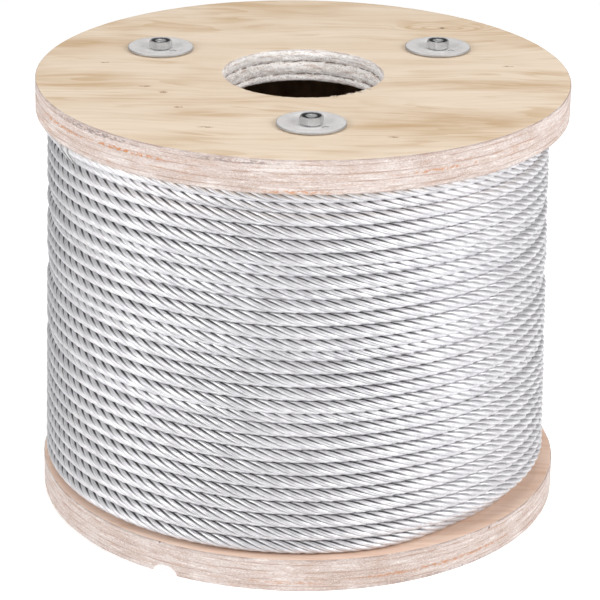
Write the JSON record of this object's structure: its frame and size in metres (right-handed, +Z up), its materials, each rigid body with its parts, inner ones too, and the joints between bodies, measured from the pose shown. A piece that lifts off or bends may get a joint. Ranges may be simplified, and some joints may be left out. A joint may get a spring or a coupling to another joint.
{
  "type": "reel of steel wire rope",
  "caption": "Bright steel wire rope wound in layers on an upright reel with round plywood flanges, a spindle bore and tie bolts with wide washers.",
  "frame": {"origin": "middle of the lower flange's outer face, on the reel's axis, where the reel stands", "axes": "+Z up along the reel's axis; -Y towards the front, where one of the tie bolts is; +X to the right"},
  "size_m": [0.254, 0.254, 0.2144],
  "materials": {
    "plywood": "bare plywood, pale veneer faces and rough sawn edges",
    "fibreboard": "bare brown fibreboard",
    "galvanised_rope": "bright galvanised stranded wire",
    "zinc_hardware": "bright zinc plate"
  },
  "bodies": {
    "root": {"top_flange": "plywood", "bottom_flange": "plywood", "drum": "fibreboard", "wire_rope_coil": "galvanised_rope", "tie_bolt_1": "zinc_hardware", "tie_bolt_2": "zinc_hardware", "tie_bolt_3": "zinc_hardware", "washer_1": "zinc_hardware", "washer_2": "zinc_hardware", "washer_3": "zinc_hardware", "nut_1": "zinc_hardware", "nut_2": "zinc_hardware", "nut_3": "zinc_hardware"}
  },
  "joints": []
}
